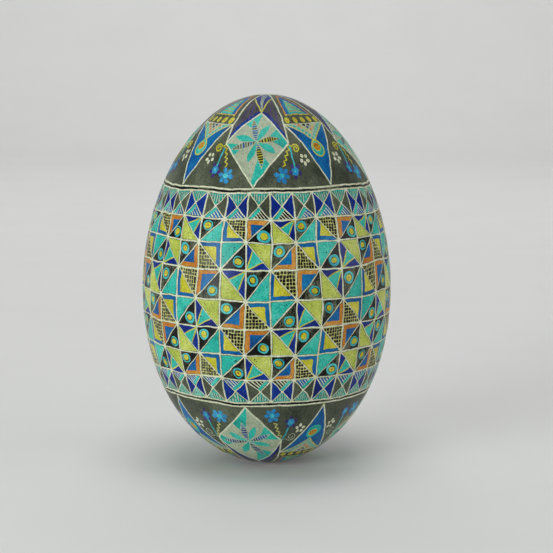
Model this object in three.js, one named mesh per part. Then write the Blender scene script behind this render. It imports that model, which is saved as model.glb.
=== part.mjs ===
// A blown goose egg decorated as a pysanka: the hollow shell, its two lining membranes,
// and the beeswax plug that closes the blow hole at the blunt end.
// Units are millimetres. +Z is up, and the egg stands on its blunt end at z = 0.

import * as THREE from 'three';

// ---- driving dimensions ----------------------------------------------------------------

const eggLength = 87;            // from the blunt end to the pointed end
const eggWidth = 58.4;           // widest diameter
const widestShift = 2.14;        // how far the widest girdle lies below the middle
const shellThickness = 0.6;      // calcite wall of a goose egg
const membraneThickness = 0.12;  // each of the two skins
const liningGap = 0.08;          // room between neighbouring layers
const blowHoleRadius = 1.5;      // drilled through the blunt end to empty the egg
const tornHoleRadius = 3.0;      // the membranes draw back around the blow hole
const airCellRadius = 13;        // where the inner membrane leaves the outer one
const airCellDepth = 4;          // how far it stands off at the blunt pole
const plugClearance = 0.1;       // between the wax neck and the wall of the blow hole
const plugHeadRadius = 2.6;      // wax that spread out on the inside of the shell
const plugHeadHeight = 1.5;
const plugEdgeRound = 0.2;       // softened rim of the smoothed outer face

const segmentsAround = 40;
const ringsAlong = 21;
const plugRoundSteps = 5;

// ---- the shape of the egg ---------------------------------------------------------------

// The sweep runs from 0 at the blunt end to PI at the pointed end.
// It gives a point of the egg's outline, an oval that is fuller below its middle.
function outline(sweep) {
  const height = -0.5 * eggLength * Math.cos(sweep);
  const skew = (8 * widestShift * height + 4 * widestShift ** 2) / eggLength ** 2;
  const radius = (0.5 * eggWidth * Math.sin(sweep)) / Math.sqrt(1 + skew);
  return new THREE.Vector2(radius, height + 0.5 * eggLength);
}

// The same outline moved inwards, square to the surface.
function insetOutline(sweep, depth) {
  const step = 1e-4;
  const along = outline(sweep + step).sub(outline(sweep - step)).normalize();
  const inwards = new THREE.Vector2(-along.y, along.x);
  return outline(sweep).addScaledVector(inwards, depth);
}

// The sweep, near the blunt end, at which a surface has the given radius.
function sweepAtRadius(radius, depthAt) {
  let low = 0;
  let high = 0.5 * Math.PI;
  for (let i = 0; i < 50; i += 1) {
    const middle = 0.5 * (low + high);
    if (insetOutline(middle, depthAt(middle)).x < radius) low = middle;
    else high = middle;
  }
  return low;
}

// Points of one surface, from the rim of its hole at the blunt end up to the pointed pole.
// Every surface is cut at the same sweeps, so neighbouring layers stay parallel.
function surfacePoints(holeRadius, depthAt) {
  const start = sweepAtRadius(holeRadius, depthAt);
  const points = [insetOutline(start, depthAt(start))];
  for (let i = 1; i <= ringsAlong; i += 1) {
    const sweep = (Math.PI * i) / ringsAlong;
    if (sweep > start) points.push(insetOutline(sweep, depthAt(sweep)));
  }
  points[0].x = holeRadius;
  points[points.length - 1].x = 0;
  return points;
}

// ---- solids -----------------------------------------------------------------------------

function latheSolid(name, profile, colour, roughness) {
  const geometry = new THREE.LatheGeometry(profile, segmentsAround);
  geometry.rotateX(0.5 * Math.PI);
  const material = new THREE.MeshStandardMaterial({ color: colour, roughness, metalness: 0 });
  const mesh = new THREE.Mesh(geometry, material);
  mesh.name = name;
  return mesh;
}

// A hollow layer of the egg, open only at the hole in its blunt end.
function hollowLayer(name, holeRadius, outerDepthAt, thickness, colour, roughness) {
  const outer = surfacePoints(holeRadius, outerDepthAt);
  const inner = surfacePoints(holeRadius, (sweep) => outerDepthAt(sweep) + thickness);
  return latheSolid(name, [...inner.reverse(), ...outer], colour, roughness);
}

function eggshell() {
  return hollowLayer('eggshell', blowHoleRadius, () => 0, shellThickness, 0x3fa39a, 0.25);
}

const outerMembraneDepth = shellThickness + liningGap;
const innerMembraneDepth = outerMembraneDepth + membraneThickness + liningGap;

function outerMembrane() {
  const depthAt = () => outerMembraneDepth;
  return hollowLayer('outer_membrane', tornHoleRadius, depthAt, membraneThickness, 0xece6d6, 0.7);
}

// The inner skin follows the outer one, except across the air cell at the blunt end.
function innerMembrane() {
  const cellSweep = sweepAtRadius(airCellRadius, () => innerMembraneDepth);
  const depthAt = (sweep) => {
    const intoCell = THREE.MathUtils.smoothstep(cellSweep - sweep, 0, cellSweep);
    return innerMembraneDepth + airCellDepth * intoCell;
  };
  return hollowLayer('inner_membrane', tornHoleRadius, depthAt, membraneThickness, 0xe6dcc6, 0.7);
}

// A neck that fills the blow hole, smoothed flat outside, with a blob of wax on the inside.
function waxPlug() {
  const neckRadius = blowHoleRadius - plugClearance;
  const insideSweep = sweepAtRadius(plugHeadRadius, () => shellThickness);
  const headBase = insetOutline(insideSweep, shellThickness).y + liningGap;
  const profile = [new THREE.Vector2(0, 0), new THREE.Vector2(neckRadius - plugEdgeRound, 0)];
  for (let i = 1; i <= plugRoundSteps; i += 1) {
    const turn = (0.5 * Math.PI * i) / plugRoundSteps;
    const rimRadius = neckRadius - plugEdgeRound * (1 - Math.sin(turn));
    profile.push(new THREE.Vector2(rimRadius, plugEdgeRound * (1 - Math.cos(turn))));
  }
  profile.push(new THREE.Vector2(neckRadius, headBase));
  for (let i = 0; i <= plugRoundSteps; i += 1) {
    const turn = (0.5 * Math.PI * i) / plugRoundSteps;
    const domeRadius = i < plugRoundSteps ? plugHeadRadius * Math.cos(turn) : 0;
    profile.push(new THREE.Vector2(domeRadius, headBase + plugHeadHeight * Math.sin(turn)));
  }
  return latheSolid('wax_plug', profile, 0xd8b45a, 0.5);
}

// ---- the assembly -----------------------------------------------------------------------

const egg = new THREE.Group();
egg.add(eggshell(), outerMembrane(), innerMembrane(), waxPlug());

export default egg;
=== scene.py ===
"""A blown goose egg decorated as a pysanka, standing on its blunt end.

The shell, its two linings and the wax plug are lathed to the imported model's outline.
The decoration is drawn flat, patch by patch, as shapes that cover each other in the order
they are painted. Each patch is cut into triangles, laid on the egg, and every dye becomes
a thin closed layer of stained shell. The bare lines that the wax kept white stand proud.
"""

import math

import bpy
import numpy as np
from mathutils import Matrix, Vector
from mathutils.geometry import delaunay_2d_cdt
from mathutils.kdtree import KDTree


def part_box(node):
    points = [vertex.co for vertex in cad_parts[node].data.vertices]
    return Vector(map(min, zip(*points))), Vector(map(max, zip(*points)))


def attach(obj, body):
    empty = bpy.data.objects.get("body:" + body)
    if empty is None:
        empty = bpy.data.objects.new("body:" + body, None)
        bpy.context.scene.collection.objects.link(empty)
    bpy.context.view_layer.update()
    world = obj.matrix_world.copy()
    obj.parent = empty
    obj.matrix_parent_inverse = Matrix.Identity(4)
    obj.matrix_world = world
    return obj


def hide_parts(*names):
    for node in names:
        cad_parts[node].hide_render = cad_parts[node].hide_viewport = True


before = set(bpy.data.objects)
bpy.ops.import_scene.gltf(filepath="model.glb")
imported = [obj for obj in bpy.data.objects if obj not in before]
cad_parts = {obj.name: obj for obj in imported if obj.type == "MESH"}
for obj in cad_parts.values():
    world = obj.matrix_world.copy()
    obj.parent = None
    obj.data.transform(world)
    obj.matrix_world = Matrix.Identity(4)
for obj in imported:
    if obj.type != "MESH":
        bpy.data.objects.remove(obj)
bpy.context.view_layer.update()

MM = 0.001

# ---- the egg, in millimetres ----

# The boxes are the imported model's. The other sizes repeat those of part.mjs.
shell_low, shell_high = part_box("eggshell")
plug_low, plug_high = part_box("wax_plug")
EGG_LENGTH = (shell_high.z - plug_low.z) / MM
EGG_WIDTH = (shell_high.x - shell_low.x) / MM
EGG_MIDDLE = np.array([0, 0, 0.5 * EGG_LENGTH])
WIDEST_SHIFT = 2.14
SHELL_THICKNESS = 0.6
BLOW_HOLE_RADIUS = 1.5
MEMBRANE_THICKNESS = 0.12
LINING_GAP = 0.08
TORN_HOLE_RADIUS = 3.0
AIR_CELL_RADIUS = 13.0
AIR_CELL_DEPTH = 4.0
PLUG_CLEARANCE = 0.1
PLUG_HEAD_HEIGHT = 1.5
PLUG_EDGE_ROUND = 0.2

# Depths of the decoration below the nominal surface.
CREST_DEPTH = 0.0
DYE_DEPTH = 0.05
SHELL_BODY_DEPTH = 0.12
LAYER_FLOOR_DEPTH = 0.15
CREST_REACH = 0.2


def egg_outline(sweep):
    """Radius and height at a sweep from 0, the blunt end, to pi, the pointed end."""
    middle_height = -0.5 * EGG_LENGTH * np.cos(sweep)
    skew = (8 * WIDEST_SHIFT * middle_height + 4 * WIDEST_SHIFT**2) / EGG_LENGTH**2
    radius = 0.5 * EGG_WIDTH * np.sin(sweep) / np.sqrt(1 + skew)
    return radius, middle_height + 0.5 * EGG_LENGTH


RADII, HEIGHTS = egg_outline(np.linspace(math.pi, 0, 4001))
DOWNS = np.concatenate([[0], np.cumsum(np.hypot(np.diff(RADII), np.diff(HEIGHTS)))])
EGG_DOWN = DOWNS[-1]
FRONT_TURN = math.radians(-9.5)
SLOPE_REACH = 0.05


def radius_at(down):
    return np.interp(down, DOWNS, RADII)


def height_at(down):
    return np.interp(down, DOWNS, HEIGHTS)


def on_egg(angle, down, depth=0.0):
    """Points of the egg: angle round it, distance down its side from the pointed pole."""
    ahead = np.clip(down + SLOPE_REACH, 0, EGG_DOWN)
    behind = np.clip(down - SLOPE_REACH, 0, EGG_DOWN)
    run = radius_at(ahead) - radius_at(behind)
    fall = height_at(behind) - height_at(ahead)
    length = np.hypot(run, fall)
    radius = radius_at(down) - depth * fall / length
    height = height_at(down) - depth * run / length
    turned = angle + FRONT_TURN
    return np.stack([radius * np.sin(turned), -radius * np.cos(turned), height], axis=-1)


def wander(points, wavelength, seed, waves=24):
    """A smooth random wobble of size about 1, which agrees wherever two patches meet."""
    draw = np.random.default_rng(seed)
    directions = draw.normal(size=(waves, 3))
    directions /= np.linalg.norm(directions, axis=1, keepdims=True)
    rates = 2 * math.pi / (wavelength * draw.uniform(0.7, 1.4, waves))
    phases = draw.uniform(0, 2 * math.pi, waves)
    return np.sin(points @ directions.T * rates + phases).sum(axis=1) * math.sqrt(2 / waves)


def hand_drawn(angle, down):
    """Shifts the drawing a little everywhere, as lines drawn by eye on an egg wander."""
    points = on_egg(angle, down)
    steady = np.clip(np.minimum(down, EGG_DOWN - down) / 9.0, 0, 1)
    sideways = 0.20 * wander(points, 15, 11) + 0.045 * wander(points, 3.0, 12)
    along = 0.14 * wander(points, 13, 13) + 0.045 * wander(points, 3.0, 14)
    return angle + steady * sideways / np.maximum(radius_at(down), 0.5), down + steady * along


# ---- flat drawing ----

# One hand draws everything, so a shape added or moved changes all the shapes after it.
HAND = np.random.default_rng(2024)
spread, jitter = HAND.uniform, HAND.normal

STEP = 0.42
CORNER_ROUND = 0.2
SHAKE = 0.04
INSIDE_DEPTHS = (0.03, 0.15, 0.4, 0.8)


def resampled(path, step=STEP, closed=False):
    """Points about a step apart along a path, its own corners included."""
    path = [np.asarray(point, float) for point in path]
    if closed:
        path.append(path[0])
    found = []
    for start, end in zip(path, path[1:]):
        count = max(1, round(float(np.linalg.norm(end - start)) / step))
        found.extend(start + (end - start) * i / count for i in range(count))
    if not closed:
        found.append(path[-1])
    return np.array(found)


def rounded(corners, radius=CORNER_ROUND, step=STEP):
    """A closed outline with rounded corners."""
    corners = np.asarray(corners, float)
    found = []
    neighbours = zip(np.roll(corners, 1, axis=0), corners, np.roll(corners, -1, axis=0))
    for before, corner, after in neighbours:
        back, ahead = before - corner, after - corner
        start = corner + back * min(radius / np.linalg.norm(back), 0.45)
        end = corner + ahead * min(radius / np.linalg.norm(ahead), 0.45)
        found.extend([start, 0.25 * start + 0.5 * corner + 0.25 * end, end])
    return resampled(found, step, closed=True)


def smoothed(values):
    return (np.roll(values, 1, axis=0) + 2 * values + np.roll(values, -1, axis=0)) / 4


def unsteady(outline, amount=SHAKE):
    """Moves each point of a closed outline a little, as an unsteady hand would."""
    return outline + smoothed(smoothed(jitter(0, amount, outline.shape)))


def unit(vector):
    return vector / np.linalg.norm(vector)


def units(vectors):
    return vectors / np.maximum(np.linalg.norm(vectors, axis=1, keepdims=True), 1e-9)


def lefts(along):
    """Each direction turned a quarter to the left."""
    return np.stack([-along[:, 1], along[:, 0]], axis=-1)


def turning(outline):
    """1 for an outline that runs anticlockwise, or -1."""
    x, y = outline.T
    return math.copysign(1, np.dot(x, np.roll(y, -1)) - np.dot(y, np.roll(x, -1)))


def crept(outline):
    """The outline drawn in by an uneven hair, where the last dye crept under the wax."""
    along = units(np.roll(outline, -1, axis=0) - np.roll(outline, 1, axis=0))
    gap = smoothed(spread(0, 0.17, len(outline)))
    return outline + turning(outline) * lefts(along) * gap[:, None]


def circle(centre, radius, count=14, stretch=1.0, tilt=0.0):
    turns = np.arange(count) * 2 * math.pi / count
    x, y = radius * stretch * np.cos(turns), radius * np.sin(turns)
    cos_tilt, sin_tilt = math.cos(tilt), math.sin(tilt)
    across = centre[0] + x * cos_tilt - y * sin_tilt
    down = centre[1] + x * sin_tilt + y * cos_tilt
    return np.stack([across, down], axis=-1)


def polar(distance, degrees):
    angle = math.radians(degrees)
    return np.array([distance * math.cos(angle), distance * math.sin(angle)])


def turned_by(points, degrees):
    cos_turn, sin_turn = math.cos(math.radians(degrees)), math.sin(math.radians(degrees))
    x, y = np.asarray(points, float).T
    return np.stack([x * cos_turn - y * sin_turn, x * sin_turn + y * cos_turn], axis=-1)


def stroke(path, width, ends=0.6, shake=0.10):
    """The outline of a drawn line: as wide as the pen, uneven, and thinner at its ends."""
    path = np.asarray(path, float)
    swell = 1 - (1 - ends) * np.abs(np.linspace(-1, 1, len(path))) ** 6
    swell *= 1 + jitter(0, shake, len(path))
    across = lefts(units(np.gradient(path, axis=0))) * (0.5 * width * swell)[:, None]
    return np.concatenate([path + across, (path - across)[::-1]])


def bowed(start, end, bow):
    """A path between two points that bows to one side by a few tenths."""
    count = max(2, round(float(np.linalg.norm(end - start)) / STEP))
    share = np.linspace(0, 1, count + 1)[:, None]
    along = unit(end - start)
    across = np.array([along[1], -along[0]])
    return start + (end - start) * share + across * bow * 4 * share * (1 - share)


def leaf_outline(length, width, lean=0.0, widest=0.42, count=9):
    """A pointed leaf along +x, with its upper side first."""
    share = np.linspace(0, 1, count)
    profile = np.sin(math.pi * share ** (math.log(0.5) / math.log(widest)))
    middle = lean * np.sin(math.pi * share)
    upper = np.stack([share * length, middle + 0.5 * width * profile], axis=-1)
    lower = np.stack([share * length, middle - 0.5 * width * profile], axis=-1)
    return np.concatenate([upper, lower[-2:0:-1]])


def winding(places, outline):
    """How many times a closed outline goes round each place."""
    here = outline - places[:, None]
    ahead = np.roll(here, -1, axis=1)
    cross = here[..., 0] * ahead[..., 1] - here[..., 1] * ahead[..., 0]
    turns = np.arctan2(cross, (here * ahead).sum(axis=-1)).sum(axis=1)
    return np.round(turns / (2 * math.pi)).astype(int)


def sound_edge(outline):
    """The edge of a closed outline with most of its inside on its left.

    The cutting fills a shape from its last edge, which must not lie where an unsteady
    outline crosses itself."""
    ahead = np.roll(outline, -1, axis=0)
    left = lefts(units(ahead - outline))
    middles = 0.5 * (outline + ahead)
    sound = winding(middles - INSIDE_DEPTHS[0] * left, outline) == 0
    depth = np.zeros(len(outline))
    for inside in INSIDE_DEPTHS:
        sound = sound & (winding(middles + inside * left, outline) == 1)
        depth[sound] = inside
    return int(np.argmax(depth))


class Patch:
    """A flat drawing in millimetres. Later shapes cover earlier ones."""

    ground = None

    def __init__(self):
        self.points, self.edges = [], []
        self.faces, self.colours, self.parents = [], [], []

    def shape(self, colour, outline, inside=None):
        """Paints a closed outline, cut off where it leaves the shape that it is inside."""
        outline = np.asarray(outline, float)
        if turning(outline) < 0:
            outline = outline[::-1]
        outline = np.roll(outline, -1 - sound_edge(outline), axis=0)
        start = len(self.points)
        self.points.extend(Vector(point) for point in outline)
        self.faces.append(list(range(start, start + len(outline))))
        self.colours.append(colour)
        self.parents.append(self.ground if inside is None else inside)
        return len(self.faces) - 1

    def edged_shape(self, colour, at, outline):
        """A shape of one dye, with black along it where the last dye crept under the wax."""
        if colour not in EDGED_DYES:
            return self.shape(colour, at(outline))
        edge = self.shape("black", at(outline))
        return self.shape(colour, at(crept(outline)), edge)

    def crest(self, path):
        """A line of points along the top of a wax line."""
        start = len(self.points)
        self.points.extend(Vector(point) for point in path)
        self.edges.extend((i, i + 1) for i in range(start, len(self.points) - 1))

    def grid_points(self, low, high, pitch=1.3):
        """Loose points inside a box, which keep wide areas as round as the egg."""
        across, down = (max(1, round((high[i] - low[i]) / pitch)) for i in (0, 1))
        for i in range(1, across):
            for j in range(1, down):
                x = low[0] + (high[0] - low[0]) * (i + 0.2 * (j % 2)) / across
                y = low[1] + (high[1] - low[1]) * j / down
                self.points.append(Vector((x, y)))

    def specks(self, places, size, inside):
        """Small spots of dark dye that crept under the wax."""
        for place in places:
            radius = size * spread(0.6, 1.4)
            self.shape("black", circle(place, radius, 6, spread(0.9, 1.7), spread(0, 3)), inside)

    def colour_of(self, shapes):
        """The colour on top, among shapes that are held by all the shapes they lie in."""
        for shape in sorted(shapes, reverse=True):
            parent = self.parents[shape]
            while parent is not None and parent in shapes:
                parent = self.parents[parent]
            if parent is None:
                return self.colours[shape]
        return None

    def cut(self):
        """The patch as points, triangles and each triangle's colour."""
        points, _, triangles, _, _, shapes = delaunay_2d_cdt(
            self.points, self.edges, self.faces, 1, 1e-4, True
        )
        colours = [self.colour_of(set(found)) for found in shapes]
        kept = [i for i, colour in enumerate(colours) if colour and len(triangles[i]) == 3]
        triangles = np.array([triangles[i] for i in kept], int)
        points = np.array([point[:] for point in points], float)
        return points, triangles, [colours[i] for i in kept]


# ---- the band of cells round the middle ----

COLUMNS = 32
COLUMN_ANGLE = 2 * math.pi / COLUMNS
SIDE_COUNT = 10
LINE_HALF = 0.16
DIAGONAL_HALF = 0.11
CLOSING_LINE = 0.2
CAP_EDGE_DOWN = 32.65
TOP_LINE_DOWN = 33.6
ROW_DOWNS = (39.6, 44.9, 50.9, 57.6, 63.8, 70.0, 75.8)
BOTTOM_LINE_DOWN = 81.6
BOTTOM_CAP_EDGE_DOWN = 82.55
EDGED_DYES = ("turquoise", "lime", "orange", "blue")

# Where each patch lies in the square of the textures, in millimetres.
ATLAS_SIDE = 162.0
ATLAS_ROW = 52.0
ATLAS_CAPS = 127.5
ATLAS_CAP_PITCH = 67.0
ATLAS_SPARE = (4.0, 150.0)
SPARE_SCALE = 0.05


def inset(corners, distances):
    """A convex outline with side i, from corner i to the next, moved inwards."""
    middle = corners.mean(axis=0)
    lines = []
    for start, end, distance in zip(corners, np.roll(corners, -1, axis=0), distances):
        along = unit(end - start)
        across = np.array([-along[1], along[0]])
        if np.dot(middle - start, across) < 0:
            across = -across
        lines.append((start + across * distance, along))
    found = []
    for (here, along), (there, other) in zip([lines[-1], *lines], lines):
        reach = np.linalg.solve(np.stack([along, -other], axis=1), there - here)
        found.append(here + along * reach[0])
    return found


class Cell(Patch):
    """One rectangle of the band, its edges running along the middle of the wax lines."""

    def __init__(self, column, top, bottom, side_heights=None):
        super().__init__()
        self.column, self.top = column, top
        self.height = bottom - top
        self.width = COLUMN_ANGLE * radius_at(0.5 * (top + bottom))
        shares = np.arange(SIDE_COUNT) / SIDE_COUNT
        heights = side_heights or [share * self.height for share in shares]
        across = [(share * self.width, 0) for share in shares]
        down = [(self.width, height) for height in heights]
        back = [(self.width - x, self.height) for x, _ in across]
        up = [(0, height) for height in [self.height, *reversed(heights[1:])]]
        self.shape("cream", across + down + back + up)
        self.grid_points((0, 0), (self.width, self.height))

    def laid(self):
        """The cut cell with its points as angle, distance down the egg and place in the atlas."""
        points, triangles, colours = self.cut()
        angle = (self.column + points[:, 0] / self.width) * COLUMN_ANGLE
        down = self.top + points[:, 1]
        half, place = divmod(self.column, COLUMNS // 2)
        across = (place + points[:, 0] / self.width) * COLUMN_ANGLE * EGG_WIDTH / 2
        atlas = np.stack([across, down - CAP_EDGE_DOWN + half * ATLAS_ROW], axis=-1)
        return angle, down, triangles, colours, atlas

    def corner(self, right, lower):
        """Takes places in mm from one corner along its two sides."""

        def at(points):
            x, y = np.asarray(points, float).T
            return np.stack([self.width - x if right else x, self.height - y if lower else y], -1)

        return at

    def half(self, at, colour):
        """The triangle of one dye in a corner, short of the wax lines round it."""
        wide, high = self.width, self.height
        x, y = LINE_HALF + jitter(0, 0.02, 2)
        reach = 1 - (DIAGONAL_HALF + jitter(0, 0.02)) * math.hypot(1 / wide, 1 / high)
        corners = [(x, y), (wide * (reach - y / high), y), (x, high * (reach - x / wide))]
        return self.edged_shape(colour, at, unsteady(rounded(corners), 0.045))

    def scattered(self, low, high, count):
        """Random places in a corner of the cell."""
        found = []
        for _ in range(count):
            across = spread(low, high)
            down = spread(low, min(high, 0.93 - across))
            found.append((across * self.width, down * self.height))
        return found


def plain_fill(colour):
    def fill(cell, at):
        whole = cell.half(at, colour)
        places = cell.scattered(0.07, 0.8, HAND.integers(4, 10))
        cell.specks(at(places), 0.085, whole)

    return fill


def ringed_fill(cell, at):
    """A turquoise ring round a yellow eye on black."""
    ground = cell.half(at, "black")
    middle = (0.295 * cell.width + jitter(0, 0.06), 0.295 * cell.height + jitter(0, 0.06))
    ring, gap = spread(1.16, 1.34), spread(0.80, 0.90)
    eye = gap - spread(0.12, 0.18)
    for colour, radius, count in (("cyan", ring, 18), ("black", gap, 14), ("yellow", eye, 12)):
        outline = circle(middle, radius, count, spread(0.94, 1.08), spread(0, 3))
        cell.shape(colour, at(unsteady(outline, 0.085)), ground)
    if HAND.random() < 0.3:
        cell.shape("orange", at(circle(middle, spread(0.18, 0.28), 9)), ground)


def banded_fill(band, inner, width):
    """A band of one dye along both sides, with another dye inside it."""

    def fill(cell, at):
        ground = cell.half(at, band)
        first = LINE_HALF + width + jitter(0, 0.05)
        second = LINE_HALF + width + jitter(0, 0.05)
        across = cell.width * (1 - second / cell.height)
        along = cell.height * (1 - first / cell.width)
        corners = [(first, second), (across, second), (first, along)]
        cell.shape(inner, at(unsteady(rounded(corners), 0.06)), ground)

    return fill


def netted_fill(cell, at):
    """A yellow net over black: rows of small black squares."""
    ground = cell.half(at, "net")
    count = 7
    start = LINE_HALF + 0.1
    pitch_x, pitch_y = ((side - 0.4) / (count + 0.7) for side in (cell.width, cell.height))
    for i in range(count):
        for j in range(count - i):
            side_x, side_y = pitch_x * spread(0.76, 0.92), pitch_y * spread(0.76, 0.92)
            x = start + i * pitch_x + jitter(0, 0.03)
            y = start + j * pitch_y + jitter(0, 0.03)
            corners = [(x, y), (x + side_x, y), (x + side_x, y + side_y), (x, y + side_y)]
            cell.shape("black", at(unsteady(rounded(corners, 0.14, 0.3))), ground)


def kite_fill(cell, at):
    """A turquoise kite between two yellow lines that fan out of the corner, on navy."""
    ground = cell.half(at, "navy")
    apex = np.array([LINE_HALF, LINE_HALF])
    shares = (0.31 + jitter(0, 0.02), 0.69 + jitter(0, 0.02))
    ends = [np.array([cell.width * (1 - share), cell.height * share]) for share in shares]
    kite = resampled([apex, ends[0] * 1.02, ends[1] * 1.02], closed=True)
    whole = cell.shape("turquoise", at(unsteady(kite, 0.03)), ground)
    cell.specks(at(cell.scattered(0.2, 0.6, 5)), 0.08, whole)
    for end in ends:
        cell.shape("yellow", at(stroke(resampled([apex * 0.8, end]), 0.27)), ground)


TURQUOISE, LIME = plain_fill("turquoise"), plain_fill("lime")
BLUE_YELLOW = banded_fill("blue", "yellow", 0.85)
ORANGE_BLUE = banded_fill("orange", "blue", 0.96)

# The grid repeats every four columns, and each pair of rows is the last pair moved along by
# two. In each cell: does the line fall to the right, then the upper and the lower fill.
GRID_ROWS = (
    (
        (False, ringed_fill, TURQUOISE),
        (True, netted_fill, BLUE_YELLOW),
        (False, ORANGE_BLUE, ringed_fill),
        (True, kite_fill, LIME),
    ),
    (
        (True, BLUE_YELLOW, netted_fill),
        (False, TURQUOISE, ringed_fill),
        (True, LIME, kite_fill),
        (False, ringed_fill, ORANGE_BLUE),
    ),
)
FIRST_COLUMN_SHIFT = 2


def grid_cell(column, row):
    shift = FIRST_COLUMN_SHIFT + 2 * (row // 2)
    falling, upper, lower = GRID_ROWS[row % 2][(column + shift) % 4]
    cell = Cell(column, ROW_DOWNS[row], ROW_DOWNS[row + 1])
    start, end = (0, cell.width) if falling else (cell.width, 0)
    cell.crest(resampled([(start, 0), (end, cell.height)], 0.6))
    upper(cell, cell.corner(right=falling, lower=False))
    lower(cell, cell.corner(right=not falling, lower=True))
    return cell


def hatched(cell, at, outer):
    """Short pale and teal strokes across the outer triangle of a cross."""
    wide, high = cell.width, cell.height
    tick, pale = LINE_HALF + 0.35, False
    while tick < wide - LINE_HALF - 0.3:
        depth = 0.5 * high * (1 - abs(2 * tick / wide - 1))
        start = LINE_HALF + spread(0.0, 0.15) * depth
        end = max(start + 0.3, depth * spread(0.6, 1.05))
        path = resampled([(tick, start), (tick + jitter(0, 0.05), end)], 0.3)
        mark = stroke(path, 0.23 if pale else 0.15, ends=0.3, shake=0.3)
        cell.shape("ground" if pale else "teal", at(mark), outer)
        tick += spread(0.24, 0.34)
        pale = not pale
    places = [(spread(0.15, 0.85) * wide, spread(0.08, 0.3) * high) for _ in range(7)]
    cell.specks(at(places), 0.08, outer)


def striped(cell, at, inner, middle):
    """Stripes beside the falling side of the inner triangle of a cross."""
    foot = cell.height - 0.16
    right, left = unit((cell.width, cell.height) - middle), unit((0, cell.height) - middle)
    opening = abs(right[0] * left[1] - right[1] * left[0])

    def down_to_foot(start, along):
        return start + along * (foot - start[1]) / along[1]

    apex = middle + right * 0.85 / opening
    corners = [apex, down_to_foot(apex, right), down_to_foot(apex, left)]
    ground = cell.shape("cream", at(resampled(corners, closed=True)), inner)
    dye = "black" if cell.column % 8 in (0, 1) else "blue"
    away = DIAGONAL_HALF + 0.24
    while True:
        start = apex + left * away / opening
        end = down_to_foot(start, right)
        if end[1] - start[1] < 0.35:
            break
        path = resampled([start, end], 0.5)
        cell.shape(dye, at(stroke(path, spread(0.34, 0.42), ends=0.8)), ground)
        away += spread(0.53, 0.60)


def cross_cell(column, top, bottom, upper_band):
    """A cell of the bands of crosses: two dark sides, a hatched and a striped triangle."""
    cell = Cell(column, top, bottom)
    at = cell.corner(right=not upper_band, lower=not upper_band)
    middle = np.array([cell.width, cell.height]) * 0.5 + jitter(0, 0.08, 2)
    corners = np.array([(0, 0), (cell.width, 0), (cell.width, cell.height), (0, cell.height)])
    for corner in corners:
        cell.crest(at(resampled([corner, middle], 0.6)))

    def triangle(first, second, colour):
        outline = np.array([corners[first], corners[second], middle])
        outline = inset(outline, [LINE_HALF, DIAGONAL_HALF, DIAGONAL_HALF])
        return cell.edged_shape(colour, at, unsteady(rounded(outline, 0.22)))

    side_dye = "olive" if (column + FIRST_COLUMN_SHIFT) % 2 == 0 else "navy"
    triangle(1, 2, side_dye)
    triangle(3, 0, side_dye)
    hatched(cell, at, triangle(0, 1, "turquoise"))
    striped(cell, at, triangle(2, 3, "turquoise"), middle)
    return cell


def strip_cell(column, top, bottom):
    """The dark strip between the two lines that close the band."""
    high, line = bottom - top, CLOSING_LINE
    cell = Cell(column, top, bottom, [0, line, 0.5 * high, high - line])
    x = np.linspace(0, cell.width, 13)
    shake = jitter(0, 0.03, (2, 13)) * np.sin(np.linspace(0, math.pi, 13))
    upper = np.stack([x, line + shake[0]], axis=-1)
    lower = np.stack([x, high - line + shake[1]], axis=-1)
    cell.shape("black", np.concatenate([upper, lower[::-1]]))
    return cell


def band_cells():
    """Every cell of the band, from the upper cap's edge to the lower one's."""
    for column in range(COLUMNS):
        yield strip_cell(column, CAP_EDGE_DOWN, TOP_LINE_DOWN)
        yield cross_cell(column, TOP_LINE_DOWN, ROW_DOWNS[0], True)
        for row in range(len(ROW_DOWNS) - 1):
            yield grid_cell(column, row)
        yield cross_cell(column, ROW_DOWNS[-1], BOTTOM_LINE_DOWN, False)
        yield strip_cell(column, BOTTOM_LINE_DOWN, BOTTOM_CAP_EDGE_DOWN)


# ---- the caps ----

SECTORS = 4
RAY_DEGREES = 22.5
CREST_WIDTH = 0.3
POLE_SPOT = 2.05


class Cap(Patch):
    """One end of the egg as seen on its pole, each distance taken along the surface.

    A place is its distance from the pole and its degrees round from the middle of a sector."""

    def __init__(self, edge, look):
        super().__init__()
        self.edge, self.look, self.turn = edge, look, look["turn"]
        count = COLUMNS * SIDE_COUNT
        self.base = self.shape("cream", circle((0, 0), edge, count))
        inner = unsteady(circle((0, 0), edge - CLOSING_LINE, count), 0.03)
        self.ground = self.shape("olive", inner, self.base)

    def flat(self, distance, degrees):
        return polar(distance, self.turn + degrees)

    def line(self, colour, path, width, inside=None, ends=0.7):
        """A drawn line. A wide one of bare shell gets points along its top as well."""
        self.shape(colour, stroke(path, width, ends), inside)
        if colour == "cream" and width > CREST_WIDTH:
            self.crest(path)

    def border(self, path, width):
        """A bare line, full width to its ends, that may run out onto the closing line."""
        self.line("cream", path, width, self.base, ends=1.0)

    def local(self, distance, degrees):
        """Takes places in mm from a point: to its right, and outwards from the pole."""
        origin, outward = self.flat(distance, degrees), self.flat(1, degrees)
        right = np.array([-outward[1], outward[0]])

        def at(points):
            points = np.asarray(points, float)
            return origin + points[:, :1] * right + points[:, 1:] * outward

        return at

    def laid(self, top):
        """The cut cap with its points as angle, distance down the egg and place in the atlas."""
        points, triangles, colours = self.cut()
        distance = np.hypot(points[:, 0], points[:, 1])
        angle = np.arctan2(points[:, 1], points[:, 0])
        down = distance if top else EGG_DOWN - distance
        middle = (ATLAS_CAPS, ATLAS_CAP_PITCH * (0.5 if top else 1.5))
        return angle, down, triangles, colours, points + middle


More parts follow.
